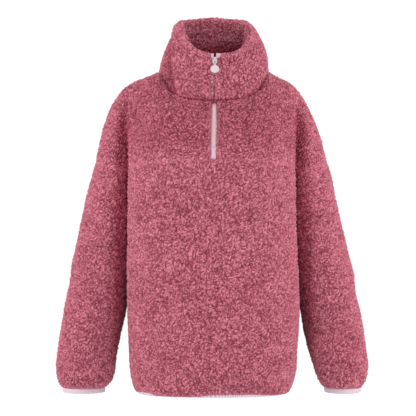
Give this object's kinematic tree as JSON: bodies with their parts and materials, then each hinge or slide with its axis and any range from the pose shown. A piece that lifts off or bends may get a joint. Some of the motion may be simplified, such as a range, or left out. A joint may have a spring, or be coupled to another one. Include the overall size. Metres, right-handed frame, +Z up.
{
  "type": "half-zip fleece pullover",
  "caption": "Half-zip pullover of curly pile fleece with a stand-up collar, drop-shoulder sleeves, a yoke across the chest, and narrow elastic binding at hem and cuffs.",
  "frame": {"origin": "middle of the neck opening, at the height where the collar joins the shoulders", "axes": "+X towards the wearer's left, +Y towards the back, +Z up; the front with the zip faces -Y"},
  "size_m": [0.5237, 0.2238, 0.6308],
  "materials": {
    "fleece": "matte curly pile",
    "binding": "matte elastic",
    "zip_tape": "matte woven",
    "zip_coil": "satin",
    "zip_metal": "satin"
  },
  "bodies": {
    "garment": {"back": "fleece", "collar": "fleece", "collar_lining": "fleece", "cuff_binding_left": "binding", "cuff_binding_right": "binding", "front_lower": "fleece", "front_yoke_left": "fleece", "front_yoke_right": "fleece", "hem_binding": "binding", "sleeve_left": "fleece", "sleeve_right": "fleece", "zip_coil": "zip_coil", "zip_end_tab": "zip_tape", "zip_slider": "zip_metal", "zip_tape_left": "zip_tape", "zip_tape_right": "zip_tape"},
    "pull": {"zip_pull": "zip_metal"}
  },
  "joints": [
    {"name": "pull_hinge", "type": "hinge", "parent": "garment", "child": "pull", "pos_m": [0.00289, -0.05979, 0.04472], "axis": [-1, 0, 0], "range_deg": [0, 150]}
  ]
}
